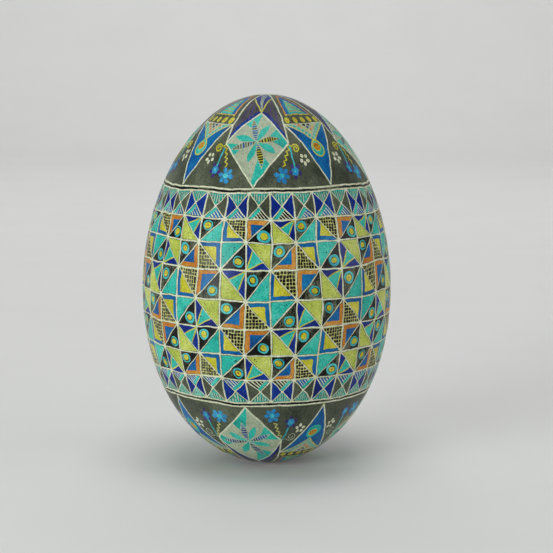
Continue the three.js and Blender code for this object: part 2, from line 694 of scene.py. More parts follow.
# Each striped petal of the star: its length, where the wedge of dye behind it starts, half
# the angle that the wedge opens to, and how far the petal leans from a quarter turn.
STAR_ARMS = ((6.2, 2.7, 40, 4), (7.1, 3.1, 27, -1), (7.0, 3.0, 26, -6), (7.3, 3.3, 34, 3))

# Distances from the pole, and degrees round from the middle of a diamond.
DIAMOND_SIDE = 21.6
DIAMOND_CENTRE = 21.1
PANEL_CORNER = 16.0
PANEL_NOTCH = 21.3
PANEL_TURN = 45
PANEL_SIDE = PANEL_TURN - RAY_DEGREES
FAN_START = 1.9
FAN_EDGE = 5.4

# How the two ends differ. Places are (distance from the pole, degrees from the middle of
# the diamond). Star gaps and bars are the dyes of its striped petals, in the order of its arms.
TOP_LOOK = dict(
    turn=2.0, star_degrees=14, star_side=-1,
    star_gaps=("yellow", "ground", "ground", "yellow"),
    star_bars=(("black", "black"), ("blue", "black"), ("black", "blue"), ("blue", "black")),
    diamond_top=12.3, bud=23.3, bud_rim=("yellow", 0.33),
    big_flowers=((29.6, -16.4), (29.6, 16.4)), small_flowers=((28.5, -24.6), (28.5, 24.6)),
    zigzag="yellow", curl=(23.0, 27.2), curl_colour="yellow", curl_width=0.38, curl_radius=1.15,
)
BOTTOM_LOOK = dict(
    turn=-2.9, star_degrees=17, star_side=1,
    star_gaps=("ground", "ground", "ground", "ground"),
    star_bars=(("blue", "navy"), ("navy", "blue"), ("navy", "navy"), ("blue", "navy")),
    diamond_top=9.8, bud=23.9, bud_rim=("cyan", 0.2),
    big_flowers=((29.0, -15.2), (29.8, 14.4)), small_flowers=((28.6, -24.8), (27.7, 26.6)),
    zigzag="net", curl=(22.9, 28.8), curl_colour="ground", curl_width=0.26, curl_radius=1.5,
)


def diamond(cap):
    """The pale diamond with a pinwheel of four striped petals and four plain leaves."""
    look, star = cap.look, cap.look["star_degrees"]
    top, left = cap.flat(look["diamond_top"], 0), cap.flat(DIAMOND_SIDE, -RAY_DEGREES)
    foot, right = cap.flat(cap.edge - 0.3, 0), cap.flat(DIAMOND_SIDE, RAY_DEGREES)
    sides = [bowed(top, left, -0.1), bowed(left, foot, 0.5), bowed(foot, right, 0.5),
             bowed(right, top, -0.1)]
    field = cap.shape("ground", np.concatenate([side[:-1] for side in sides]))
    centre = cap.local(DIAMOND_CENTRE, 0)

    def at(points, degrees):
        return centre(turned_by(points, degrees) * (1, look["star_side"]))

    for arm, (length, start, half, lean) in enumerate(STAR_ARMS):
        degrees = 90 * arm + star + lean
        ends = [polar(9.0, turn) + (start, 0) for turn in (3 + half, 3 - half)]
        wedge = resampled([(start, 0), *ends], closed=True)
        behind = cap.shape("turquoise", at(wedge, degrees), field)
        places = [(spread(start + 0.5, length), spread(-2.5, 2.5)) for _ in range(6)]
        cap.specks(at(places, degrees), 0.07, behind)
    for arm in range(4):
        degrees = 90 * arm + 45 + star + 5 + jitter(0, 2.5)
        leaf = leaf_outline(spread(5.4, 6.1), spread(1.6, 1.9), 0.1, widest=0.58)
        cap.shape("turquoise", at(unsteady(leaf, 0.05), degrees), field)
    for arm, (length, _, _, lean) in enumerate(STAR_ARMS):
        degrees = 90 * arm + star + lean + jitter(0, 0.8)
        rim = leaf_outline(length, 1.75, widest=0.5)
        cap.shape("ground", at(unsteady(rim, 0.03), degrees), field)
        inner = leaf_outline(length - 0.5, 1.4, widest=0.5) + (0.25, 0)
        petal = cap.shape(look["star_gaps"][arm], at(unsteady(inner, 0.03), degrees), field)
        bar = 0.8
        while bar < length - 0.7:
            path = resampled([(bar - 0.1, -0.9), (bar + 0.12, 0.9)], 0.45)
            band = stroke(path, spread(0.38, 0.46), ends=0.9)
            cap.shape(look["star_bars"][arm][HAND.integers(2)], at(band, degrees), petal)
            bar += spread(0.62, 0.72)
    for path in sides:
        cap.border(path, 0.38)


def rays(cap):
    """The plum field above the diamond, and the fan of lines at the pole."""
    diamond_top, side_degrees = cap.look["diamond_top"], (-RAY_DEGREES, RAY_DEGREES)
    top, start = cap.flat(diamond_top, 0), cap.flat(FAN_START, 0)
    left, right = (cap.flat(DIAMOND_SIDE, degrees) for degrees in side_degrees)
    near_left, near_right = (cap.flat(2.2, degrees) for degrees in side_degrees)
    corners = [start, near_left, left, top, right, near_right]
    plum = cap.shape("plum", resampled(corners, closed=True))
    for side in (-1, 1):
        edge = [cap.flat(diamond_top - 0.5, 0.5 * side),
                cap.flat(DIAMOND_SIDE - 1.2, side * (RAY_DEGREES - 1.5))]
        cap.line("navy", resampled(edge), 1.5, plum, ends=0.3)
        for i in range(5):
            degrees = side * (RAY_DEGREES - 2.6 - 2.9 * i)
            near, far = spread(5.5, 7.5) + 0.5 * i, spread(15.5, 18.5) - 0.9 * i
            streak = resampled([cap.flat(near, 0.92 * degrees), cap.flat(far, degrees)])
            cap.line(("olive", "plum_light")[i % 2], streak, spread(0.12, 0.28), plum, ends=0.1)
    corners = [cap.flat(FAN_START, -RAY_DEGREES), cap.flat(FAN_EDGE, -RAY_DEGREES), top,
               cap.flat(FAN_EDGE, RAY_DEGREES), cap.flat(FAN_START, RAY_DEGREES), start]
    fan = cap.shape("navy", resampled(corners, closed=True))
    for degrees in (-15, -7.5, 0, 7.5, 15):
        cap.line("ground", resampled([cap.flat(2.4, degrees), top]), 0.13, fan)
    for degrees in side_degrees:
        cap.line("yellow", resampled([cap.flat(FAN_EDGE, degrees), top]), 0.3)


def ray_lines(cap):
    for degrees in (RAY_DEGREES, -RAY_DEGREES):
        ends = [cap.flat(1.7, degrees), cap.flat(DIAMOND_SIDE, degrees)]
        cap.border(resampled(ends), 0.4)


def pole_panel(cap):
    """The orange-edged panel that runs down from the pole between two diamonds."""
    foot = 13.3

    def wedge(colour, start, gap, end, round_by=CORNER_ROUND, inside=None):
        """A wedge whose sides stay a set distance off the rays."""
        near = max(PANEL_SIDE - math.degrees(gap / start), 1.5)
        lean = math.degrees(gap / end)
        places = ((start, PANEL_TURN - near), (end, PANEL_TURN - PANEL_SIDE + lean),
                  (end - 0.45, PANEL_TURN),
                  (end, PANEL_TURN + PANEL_SIDE - lean), (start, PANEL_TURN + near))
        corners = [cap.flat(*place) for place in places]
        return cap.shape(colour, unsteady(rounded(corners, round_by), 0.03), inside)

    wedge("orange", 3.6, 1.15, foot)
    blue = wedge("blue", 4.6, 1.55, foot - 0.15)
    inner = wedge("turquoise", 6.6, 2.45, foot - 0.45, 0.3, blue)
    rows = ((7.5, 0.4), (8.35, 0.65), (9.2, 0.95), (10.05, 1.2), (10.9, 1.5), (11.75, 1.8))
    for row, (distance, half) in enumerate(rows):
        at = cap.local(distance, PANEL_TURN)
        x = -half
        while x < half:
            length = spread(0.5, 0.95)
            path = [(x, 0.0), (x + 0.5 * length, spread(-0.16, 0.05)), (x + length, 0.05)]
            mark = stroke(resampled(path, 0.22), spread(0.32, 0.44), ends=0.4)
            cap.shape(("yellow", "orange")[row % 2], at(mark), inner)
            x += length + spread(0.08, 0.22)
    wave = []
    for share in np.arange(25) / 24:
        degrees = PANEL_TURN - PANEL_SIDE + 5 + (2 * PANEL_SIDE - 10) * share
        sag, swing = 0.35 * math.sin(math.pi * share), 0.16 * math.cos(2 * math.pi * 5 * share)
        wave.append(cap.flat(foot - 0.1 - sag + swing, degrees))
    cap.line("yellow", wave, 0.3)


def bud(cap, panel):
    """The rimmed bud at the foot of the blue panel."""
    at = cap.local(cap.look["bud"], PANEL_TURN)
    turns = np.linspace(0, 2 * math.pi, 25)[:-1]
    point = 1 + 0.22 * np.maximum(0, np.cos(turns)) ** 6
    outline = np.stack([np.sin(turns), -np.cos(turns) * point], axis=-1)
    rim_dye, rim_width = cap.look["bud_rim"]
    for colour, size in ((rim_dye, 2.05), ("turquoise", 2.05 - rim_width)):
        cap.shape(colour, at(unsteady(outline * size)))
    heart = (-0.12, -0.48)
    core = at(unsteady(circle(heart, 0.98, 14, 1.05), 0.08))
    cap.shape("yellow", at(circle(heart, 1.16, 14, 1.05)), panel)
    inside = cap.shape("orange", core, panel)
    for x in (-0.7, 0.05):
        path = [(x, -0.15 + jitter(0, 0.1)), (x + 0.5, -0.8 + jitter(0, 0.1))]
        cap.shape("yellow", at(stroke(resampled(path, 0.25), 0.2)), inside)
    for degrees in range(20, 165, 24):
        tick = turned_by([(1.15, 0), (1.55, 0)], degrees)
        cap.shape("teal", at(stroke(resampled(tick, 0.2), 0.16)), panel)


def blue_panel(cap):
    """The blue panel that points at the band, with its net, petals and bud."""
    turns = PANEL_TURN + np.linspace(PANEL_SIDE, -PANEL_SIDE, 16)
    arc = [cap.flat(PANEL_CORNER, turn) for turn in turns]
    left, right = arc[-1], arc[0]
    foot, notch = cap.flat(cap.edge - 0.4, PANEL_TURN), cap.flat(PANEL_NOTCH, PANEL_TURN)
    sides = [bowed(left, foot, 0.45), bowed(foot, right, 0.45)]
    panel = cap.shape("blue", np.concatenate([sides[0][:-1], sides[1][:-1], arc[:-1]]))

    net_sides = [resampled([left, notch]), resampled([notch, right])]
    net = cap.shape("ground", np.concatenate([*(side[:-1] for side in net_sides), arc[:-1]]), panel)
    legs = 8
    one, two = (left - notch) / (legs + 0.3), (right - notch) / (legs + 0.3)
    rows = (("turquoise", "turquoise"), ("orange", "net"), ("black", "navy"), ("blue", "black"),
            ("navy", "turquoise"))
    for i in range(legs):
        for j in range(legs - i + 1):
            start = notch + one * (i + 0.3) + two * (j + 0.3)
            size = spread(0.60, 0.76)
            corners = [start, start + one * size, start + (one + two) * size, start + two * size]
            outline = unsteady(rounded(corners, 0.16, 0.35))
            cap.shape(rows[min(i, j, 4)][HAND.integers(2)], outline, net)
    for path in net_sides:
        cap.line("yellow", path, 0.26)
    bud(cap, panel)
    for i in range(5):
        at = cap.local(14.75, PANEL_TURN - 17.6 + 8.8 * i)
        tilt = math.radians(90 + jitter(0, 9))
        petal = circle((jitter(0, 0.08), 0), spread(0.60, 0.70), 14, 1.45, tilt)
        whole = cap.shape("yellow", at(unsteady(petal)))
        cap.shape("orange", at(circle((0, 0.1), 0.22, 9, 1.4, tilt)), whole)
    for path in sides:
        cap.border(path, 0.42)
    cap.line("cream", arc, 0.22)


def stems(cap, side):
    """The curl, stems and flowers that grow from one side corner of the diamond."""
    look = cap.look
    corner = cap.flat(DIAMOND_SIDE + 0.3, side * RAY_DEGREES)

    middle = look["small_flowers"][side > 0]
    cap.line("cyan", resampled([corner, cap.flat(*middle)]), 0.42)
    at = cap.local(*middle)
    for i in range(5):
        dot = circle(polar(1.5, 72 * i + 20), 0.46, 9, 1.2, math.radians(72 * i + 110))
        cap.shape("plum_light", at(unsteady(dot, 0.06)))
    for i in range(5):
        cap.shape("blue_light", at(unsteady(circle(polar(0.62, 72 * i - 16), 0.52, 10))))
    cap.shape("cyan", at(unsteady(circle((0, 0), 0.36, 9), 0.03)))

    middle = look["big_flowers"][side > 0]
    run = (cap.flat(*middle) - corner) * 0.74
    along = unit(run)
    across = np.array([along[1], -along[0]])
    steps = 9
    swings = [corner + run * (i + 1) / steps + across * 0.42 * (-1) ** i for i in range(steps)]
    cap.line(look["zigzag"], resampled([corner, *swings], 0.3), 0.32)
    at = cap.local(*middle)
    for i in range(6):
        degrees = 60 * i + 10 + jitter(0, 4)
        petal = leaf_outline(2.25, spread(1.15, 1.35), widest=0.68)
        cap.shape("blue_light", at(turned_by(unsteady(petal, 0.05), degrees) * (1.12, 0.92)))
    cap.shape("blue_light", at(unsteady(circle((0, 0), 0.85, 12))))
    cap.shape("cyan", at(unsteady(circle((0, 0), 0.5, 12, 1.4), 0.06)))

    distance, degrees = look["curl"]
    size = look["curl_radius"]
    at = cap.local(distance, side * degrees)
    turns = np.linspace(0, 1, 34)
    radius = size * (1 - 0.8 * turns)
    angle = math.radians(205) + turns * 2 * math.pi * 1.55
    curl = np.stack([radius * np.cos(angle) * side, radius * np.sin(angle)], axis=-1)
    path = np.concatenate([[corner], at([(-1.4 * size * side, -0.85 * size)]), at(curl)])
    cap.line(look["curl_colour"], path, look["curl_width"], ends=0.5)

    at = cap.local(distance + 2.7, side * (degrees + 4.8))
    for i in range(5):
        spot = polar(1.02, 72 * i + 18 + jitter(0, 4))
        dot = circle(spot, 0.46, 10, spread(1.0, 1.35), math.radians(72 * i + 18))
        cap.shape("cream", at(unsteady(dot)))


def flowers(cap):
    for side in (1, -1):
        stems(cap, side)


def all_round(cap, *parts):
    """Draws the parts of every sector in turn."""
    for sector in range(SECTORS):
        cap.turn = cap.look["turn"] + 360 * sector / SECTORS
        for part in parts:
            part(cap)


def drawn_cap(edge, look, hole=None):
    cap = Cap(edge, look)
    cap.grid_points((-edge, -edge), (edge, edge))
    all_round(cap, rays, pole_panel, blue_panel, flowers, diamond)
    all_round(cap, ray_lines)
    cap.shape("cream", unsteady(circle((0, 0), POLE_SPOT, 24)))
    if hole:
        cap.shape(None, circle((0, 0), hole, 40), cap.base)
    return cap


# ---- joining the patches ----

WELD = 0.001
SPECK_AREA = 0.03
FAN_GAP = 0.02
SHARP_DEGREES = 40


def square_to(points, triangles):
    """Each triangle's normal, as long as twice its area."""
    a, b, c = (points[triangles[:, i]] for i in range(3))
    return np.cross(b - a, c - a)


def turned_outwards(points, triangles):
    """The triangles of one patch, all turned over if they face the inside of the egg."""
    outwards = points[triangles].mean(axis=1) - EGG_MIDDLE
    facing = (square_to(points, triangles) * outwards).sum()
    return triangles if facing > 0 else triangles[:, ::-1]


def joined(patches):
    """All patches as one sheet, welded where their edges meet."""
    triangles, atlas, start = [], [], 0
    for angle, down, found, _, places in patches:
        found = turned_outwards(on_egg(angle, down), found)
        triangles.append(found + start)
        atlas.append(places[found])
        start += len(angle)
    angles, downs, _, colours, _ = zip(*patches)
    angle, down, labels, triangles, atlas = map(
        np.concatenate, (angles, downs, colours, triangles, atlas)
    )
    grid = np.round(on_egg(angle, down) / WELD).astype(np.int64)
    _, first, same = np.unique(grid, axis=0, return_index=True, return_inverse=True)
    triangles = same.reshape(-1)[triangles]
    whole = (triangles != np.roll(triangles, 1, axis=1)).all(axis=1)
    return angle[first], down[first], triangles[whole], labels[whole], atlas[whole]


def neighbours_of(triangles, count):
    """Pairs of triangles that share an edge."""
    start, end = triangles.reshape(-1), np.roll(triangles, -1, axis=1).reshape(-1)
    owner = np.repeat(np.arange(len(triangles)), 3)
    code = np.minimum(start, end) * count + np.maximum(start, end)
    order = np.argsort(code, kind="stable")
    code, owner = code[order], owner[order]
    same = code[1:] == code[:-1]
    return owner[:-1][same], owner[1:][same]


def absorb_specks(triangles, labels, areas, count):
    """Gives each tiny island of a dye the dye that lies round it."""
    left, right = neighbours_of(triangles, count)
    alike = labels[left] == labels[right]
    island = np.arange(len(triangles))
    while True:
        lowest = island.copy()
        np.minimum.at(lowest, left[alike], island[right[alike]])
        np.minimum.at(lowest, right[alike], island[left[alike]])
        lowest = lowest[lowest]
        if (lowest == island).all():
            break
        island = lowest
    size = np.bincount(island, weights=areas, minlength=len(triangles))
    small = size[island] < SPECK_AREA
    for pair in zip(left, right):
        if small[pair[0]] != small[pair[1]]:
            speck, beside = pair if small[pair[0]] else pair[::-1]
            whole = island == island[speck]
            labels[whole] = labels[beside]
            small[whole] = False
    return labels


def crest_depths(triangles, labels, points):
    """How deep each point lies: bare lines rise from the dyed surface to a flat crest."""
    depth = np.full(len(points), DYE_DEPTH)
    bare, dyed = np.zeros((2, len(points)), bool)
    bare[triangles[labels == "cream"]] = True
    dyed[triangles[labels != "cream"]] = True
    edge = np.flatnonzero(bare & dyed)
    tree = KDTree(len(edge))
    for i, vertex in enumerate(edge):
        tree.insert(Vector(points[vertex]), i)
    tree.balance()
    for vertex in np.flatnonzero(bare & ~dyed):
        away = tree.find(Vector(points[vertex]))[2]
        rise = min(1.0, away / CREST_REACH)
        depth[vertex] = DYE_DEPTH + (CREST_DEPTH - DYE_DEPTH) * rise
    return depth


def mesh_object(name, vertices, faces, places=None):
    """A piece in metres from millimetre coordinates, shaded smooth but for its sharp edges."""
    mesh = bpy.data.meshes.new(name)
    mesh.from_pydata(np.asarray(vertices) * MM, [], faces)
    if places is not None:
        layer = mesh.uv_layers.new(name="OFBake")
        layer.data.foreach_set("uv", np.asarray(places, np.float32).reshape(-1))
    mesh.validate()
    mesh.shade_smooth()
    mesh.set_sharp_from_angle(angle=math.radians(SHARP_DEGREES))
    piece = bpy.data.objects.new(name, mesh)
    bpy.context.scene.collection.objects.link(piece)
    return piece


def rim_of(local, count):
    """The edges that have a triangle on one side only."""
    start, end = local.reshape(-1), np.roll(local, -1, axis=1).reshape(-1)
    rim = ~np.isin(start * count + end, end * count + start)
    return start[rim], end[rim]


def part_fans(local, surfaces):
    """Where two fans of triangles touch in one point only, gives each its own point."""
    start, _ = rim_of(local, len(surfaces[0]))
    for vertex in np.flatnonzero(np.bincount(start) > 1):
        rest = list(np.flatnonzero((local == vertex).any(axis=1)))
        while rest:
            fan = [rest.pop()]
            for triangle in fan:
                corners = set(local[triangle])
                touching = [other for other in rest if len(corners & set(local[other])) > 1]
                fan.extend(touching)
                rest = [other for other in rest if other not in touching]
            if rest:
                fan_corners = local[fan]
                for i, surface in enumerate(surfaces):
                    inwards = surface[fan_corners].mean(axis=(0, 1)) - surface[vertex]
                    point = surface[vertex] + inwards * FAN_GAP / np.linalg.norm(inwards)
                    surfaces[i] = np.concatenate([surface, [point]])
                local[fan] = np.where(fan_corners == vertex, len(surfaces[0]) - 1, fan_corners)


def dye_layer(name, colour, sheet):
    """One dye as a closed thin layer: its drawn surface, the same below, and walls between."""
    triangles, labels, atlas, tops, floors = sheet
    chosen = labels == colour
    used, local = np.unique(triangles[chosen], return_inverse=True)
    local = local.reshape(-1, 3)
    surfaces = [tops[used], floors[used]]
    part_fans(local, surfaces)
    count = len(surfaces[0])
    start, end = rim_of(local, count)
    walls = np.stack([end, start, start + count, end + count], axis=-1)
    faces = [*local.tolist(), *(local[:, ::-1] + count).tolist(), *walls.tolist()]
    drawn = atlas[chosen].reshape(-1, 2)
    below = atlas[chosen][:, ::-1].reshape(-1, 2)
    position = np.zeros((count, 2))
    position[local.reshape(-1)] = drawn
    beside = position[walls.reshape(-1) % count]
    hidden = np.concatenate([below, beside]) * SPARE_SCALE + ATLAS_SPARE
    places = np.concatenate([drawn, hidden]) / ATLAS_SIDE
    return mesh_object(name, np.concatenate(surfaces), faces, places)


# ---- the turned pieces under the drawing ----

TURNED_SEGMENTS = 192
TURNED_RINGS = 90
PLUG_STEPS = 10


def turned_piece(name, profile, wrinkle=None):
    """A closed turned form. The profile runs from the axis back to the axis."""
    turns = np.arange(TURNED_SEGMENTS) * 2 * math.pi / TURNED_SEGMENTS
    around = [(math.sin(turn), -math.cos(turn)) for turn in turns]
    vertices, faces = [(0, 0, profile[0][1])], []
    for radius, height in profile[1:-1]:
        vertices.extend((radius * x, radius * y, height) for x, y in around)
    last = len(vertices)
    vertices.append((0, 0, profile[-1][1]))
    top = last - TURNED_SEGMENTS
    for i in range(TURNED_SEGMENTS):
        j = (i + 1) % TURNED_SEGMENTS
        faces.append((0, 1 + j, 1 + i))
        for low in range(1, top, TURNED_SEGMENTS):
            high = low + TURNED_SEGMENTS
            faces.append((low + i, low + j, high + j, high + i))
        faces.append((top + i, top + j, last))
    vertices = np.array(vertices, float)
    if wrinkle is not None:
        vertices = wrinkle(vertices)
    return mesh_object(name, vertices, faces)


def down_at_radius(radius, depth):
    """How far down the egg, near its blunt end, a layer has the given radius."""
    downs = np.linspace(0.6 * EGG_DOWN, EGG_DOWN - 0.05, 6000)
    radii = -on_egg(np.full(len(downs), -FRONT_TURN), downs, depth)[:, 1]
    return float(np.interp(-radius, -radii, downs))


def layer_profile(hole_radius, depth_at):
    """Radius and height of one turned surface, from the pointed pole to the rim of its hole."""
    reach = down_at_radius(hole_radius, depth_at(EGG_DOWN))
    downs = 0.5 * reach * (1 - np.cos(math.pi * np.linspace(0, 1, TURNED_RINGS)))
    depths = np.array([depth_at(down) for down in downs])
    points = on_egg(np.full(TURNED_RINGS, -FRONT_TURN), downs, depths)
    profile = [[-point[1], point[2]] for point in points]
    profile[0][0] = 0.0
    return profile


def hollow_piece(name, hole_radius, depth_at, thickness, wrinkle=None):
    """A layer of the egg, turned from a profile down its inner face and back up its outer."""
    inner = layer_profile(hole_radius, lambda down: depth_at(down) + thickness)
    outer = layer_profile(hole_radius, depth_at)
    return turned_piece(name, [*inner, *outer[::-1]], wrinkle)


def crumpled(amount, seed):
    """A skin that has dried a little uneven, drawn in from the shell and never out to it."""

    def wrinkle(vertices):
        shift = 0.5 + 0.5 * np.clip(wander(vertices, 9, seed), -1, 1)
        inwards = EGG_MIDDLE - vertices
        inwards /= np.linalg.norm(inwards, axis=1, keepdims=True)
        return vertices + inwards * (amount * shift)[:, None]

    return wrinkle


def shell_body():
    wall = SHELL_THICKNESS - SHELL_BODY_DEPTH
    return hollow_piece("shell_body", BLOW_HOLE_RADIUS, lambda down: SHELL_BODY_DEPTH, wall)


OUTER_SKIN_DEPTH = SHELL_THICKNESS + LINING_GAP
INNER_SKIN_DEPTH = OUTER_SKIN_DEPTH + MEMBRANE_THICKNESS + LINING_GAP
CELL_START_DOWN = down_at_radius(AIR_CELL_RADIUS, INNER_SKIN_DEPTH)


def inner_skin_depth(down):
    """The inner skin leaves the outer one across the air cell at the blunt end."""
    share = min(1.0, max(0.0, (down - CELL_START_DOWN) / (EGG_DOWN - CELL_START_DOWN)))
    return INNER_SKIN_DEPTH + AIR_CELL_DEPTH * share * share * (3 - 2 * share)


def dried_skin(name, depth_at, amount, seed):
    wrinkle = crumpled(amount, seed)
    return hollow_piece(name, TORN_HOLE_RADIUS, depth_at, MEMBRANE_THICKNESS, wrinkle)


def wax_plug():
    """The neck with its smoothed face, and the blob that spread inside the shell."""
    neck = BLOW_HOLE_RADIUS - PLUG_CLEARANCE
    head_top = (plug_high.z - plug_low.z) / MM
    head_base = head_top - PLUG_HEAD_HEIGHT
    head = (plug_high.x - plug_low.x) / MM / 2
    turns = [0.5 * math.pi * i / PLUG_STEPS for i in range(PLUG_STEPS + 1)]
    profile = [(0, 0), (0.5 * neck, 0), (neck - PLUG_EDGE_ROUND, 0)]
    for turn in turns[1:]:
        radius = neck - PLUG_EDGE_ROUND * (1 - math.sin(turn))
        profile.append((radius, PLUG_EDGE_ROUND * (1 - math.cos(turn))))
    profile.append((neck, head_base))
    for turn in turns[:-1]:
        profile.append((head * math.cos(turn), head_base + PLUG_HEAD_HEIGHT * math.sin(turn)))
    profile.append((0, head_top))

    def softened(vertices):
        """The blob set unevenly. The neck and the face keep their shape."""
        share = np.clip((vertices[:, 2] - head_base - 0.3) / PLUG_HEAD_HEIGHT, 0, 1)
        shift = -0.12 * share * (1 + np.clip(wander(vertices, 2.5, 33), -1, 1))
        return vertices * (1 + shift[:, None] / PLUG_HEAD_HEIGHT * (0.4, 0.4, 0.1))

    return turned_piece("wax_plug_detail", profile, softened)


# ---- materials ----


def linear(colour):
    """A linear colour from sRGB parts of 255."""
    parts = [part / 255 for part in colour]
    found = [part / 12.92 if part <= 0.04045 else ((part + 0.055) / 1.055) ** 2.4 for part in parts]
    return (*found, 1.0)


class Surface:
    """A new material and the few kinds of node that all of them use, in millimetres."""

    def __init__(self, name):
        self.material = bpy.data.materials.new(name)
        self.material.use_nodes = True
        self.tree = self.material.node_tree
        self.tree.nodes.clear()
        metres = self.node("ShaderNodeTexCoord").outputs["Object"]
        self.place = self.mapped(metres, Scale=(1 / MM,) * 3)

    def node(self, kind, inputs=None, **settings):
        made = self.tree.nodes.new(kind)
        for key, value in settings.items():
            setattr(made, key, value)
        for key, value in (inputs or {}).items():
            if isinstance(value, bpy.types.NodeSocket):
                self.tree.links.new(value, made.inputs[key])
            else:
                made.inputs[key].default_value = value
        return made

    def mapped(self, place, **changes):
        return self.node("ShaderNodeMapping", {"Vector": place, **changes}).outputs[0]

    def noise(self, size, detail=3.0, stretch=(1, 1, 1), offset=0.0, roughness=0.55):
        """Soft random values whose features are about the given size."""
        place = self.mapped(self.place, Scale=stretch, Location=(offset,) * 3)
        made = self.node("ShaderNodeTexNoise", {
            "Vector": place, "Scale": 1 / size, "Detail": detail, "Roughness": roughness})
        return made.outputs["Fac"]

    def ramp(self, value, low, high, start=0.0, end=1.0):
        made = self.node("ShaderNodeMapRange", {
            "Value": value, "From Min": low, "From Max": high, "To Min": start, "To Max": end})
        return made.outputs["Result"]

    def pores(self, size, radius, offset=0.0):
        """1 in small scattered dots, 0 elsewhere."""
        place = self.mapped(self.place, Location=(offset,) * 3)
        cells = self.node("ShaderNodeTexVoronoi", {"Vector": place, "Scale": 1 / size})
        return self.ramp(cells.outputs["Distance"], radius, 0.6 * radius)

    def mixed(self, share, first, second, blend="MIX"):
        """Two colours mixed, each one a socket or its sRGB parts of 255."""
        inputs = {0: share}
        for key, colour in ((6, first), (7, second)):
            socket = isinstance(colour, bpy.types.NodeSocket)
            inputs[key] = colour if socket else linear(colour)
        made = self.node("ShaderNodeMix", inputs, data_type="RGBA", blend_type=blend)
        return made.outputs[2]

    def math(self, operation, first, second):
        return self.node("ShaderNodeMath", {0: first, 1: second}, operation=operation).outputs[0]

    def bump(self, height, distance, strength=1.0):
        return self.node("ShaderNodeBump", {
            "Height": height, "Distance": distance * MM, "Strength": strength}).outputs[0]

    def close(self, **inputs):
        named = {key.replace("_", " "): value for key, value in inputs.items()}
        shader = self.node("ShaderNodeBsdfPrincipled", named)
        self.node("ShaderNodeOutputMaterial", {"Surface": shader.outputs[0]})
        return self.material


def dyed(name, main, thin, deep):
    """Dyed shell under varnish: the dye took thinly in places, pooled in others."""
    surface = Surface(name)
    seed = sum(map(ord, name)) % 97
    patches = surface.noise(2.2, 4.0, offset=seed)
    mottle = 0.0
    for share, values in (
        (0.34, surface.noise(8.0, 1.0, offset=seed + 13)),
        (0.26, patches),
        (0.26, surface.noise(0.32, 3.0, offset=seed + 5)),
        (0.14, surface.noise(0.5, 2.0, stretch=(1, 1, 0.22), offset=seed + 9)),
    ):
        mottle = surface.math("ADD", mottle, surface.math("MULTIPLY", values, share))
    pale = surface.mixed(surface.ramp(mottle, 0.50, 0.62), main, thin)
    colour = surface.mixed(surface.ramp(mottle, 0.49, 0.38), pale, deep)
    pores = surface.pores(0.55, 0.22, seed)
    gate = surface.ramp(surface.noise(1.1, 1.0, offset=seed + 3), 0.5, 0.6)
    dots = surface.math("MULTIPLY", surface.math("MULTIPLY", pores, gate), 0.55)
    colour = surface.mixed(dots, colour, [0.45 * part for part in deep])
    speckle = surface.ramp(surface.noise(0.24, 2.0, offset=seed + 7), 0.32, 0.68, 0.70, 1.26)
    colour = surface.mixed(1.0, colour, speckle, "MULTIPLY")
    grain = surface.noise(0.5, 5.0, offset=2, roughness=0.65)
    relief = surface.math("SUBTRACT", grain, surface.math("MULTIPLY", dots, 0.5))
    gloss = surface.ramp(patches, 0.35, 0.65, 0.36, 0.50)
    return surface.close(
        Base_Color=colour, Roughness=gloss, Normal=surface.bump(relief, 0.05, 0.8),
        Specular_IOR_Level=0.13, Coat_Weight=0.09, Coat_Roughness=0.2,
    )


def bare_shell(name):
    """Shell kept white by the wax, yellowed by old varnish, with dye left in its pores."""
    surface = Surface(name)
    patches = surface.noise(1.6, 4.0)
    grain = surface.noise(0.25, 3.0, offset=7)
    colour = surface.mixed(surface.ramp(patches, 0.38, 0.66), (200, 204, 170), (222, 225, 200))
    stain = surface.ramp(grain, 0.48, 0.66, 0.0, 0.75)
    colour = surface.mixed(stain, colour, (126, 134, 94))
    relief = surface.noise(0.6, 4.0, offset=3)
    gloss = surface.ramp(patches, 0.35, 0.65, 0.38, 0.52)
    return surface.close(
        Base_Color=colour, Roughness=gloss, Normal=surface.bump(relief, 0.03, 0.6),
        Specular_IOR_Level=0.3, Coat_Weight=0.2, Coat_Roughness=0.22,
    )


def raw_shell(name):
    surface = Surface(name)
    patches = surface.noise(3.0, 4.0)
    colour = surface.mixed(surface.ramp(patches, 0.35, 0.65), (226, 224, 208), (240, 238, 226))
    relief = surface.math("SUBTRACT", surface.noise(0.7, 4.0, offset=3), surface.pores(0.9, 0.2))
    gloss = surface.ramp(patches, 0.3, 0.7, 0.55, 0.7)
    return surface.close(Base_Color=colour, Roughness=gloss, Normal=surface.bump(relief, 0.04, 0.6))


def skin(name, colour, dark):
    """A dried egg membrane: a felt of fine fibres, a little translucent."""
    surface = Surface(name)
    fibres = surface.noise(0.35, 6.0, stretch=(1, 1, 3.0))
    cross = surface.noise(0.35, 6.0, stretch=(3.0, 1, 1), offset=11)
    felt = surface.math("MULTIPLY", fibres, cross)
    shade = surface.mixed(surface.ramp(felt, 0.16, 0.34), dark, colour)
    gloss = surface.ramp(felt, 0.16, 0.34, 0.75, 0.6)
    return surface.close(
        Base_Color=shade, Roughness=gloss, Normal=surface.bump(felt, 0.05, 0.8),
        Subsurface_Weight=0.2, Subsurface_Scale=0.5 * MM,
    )


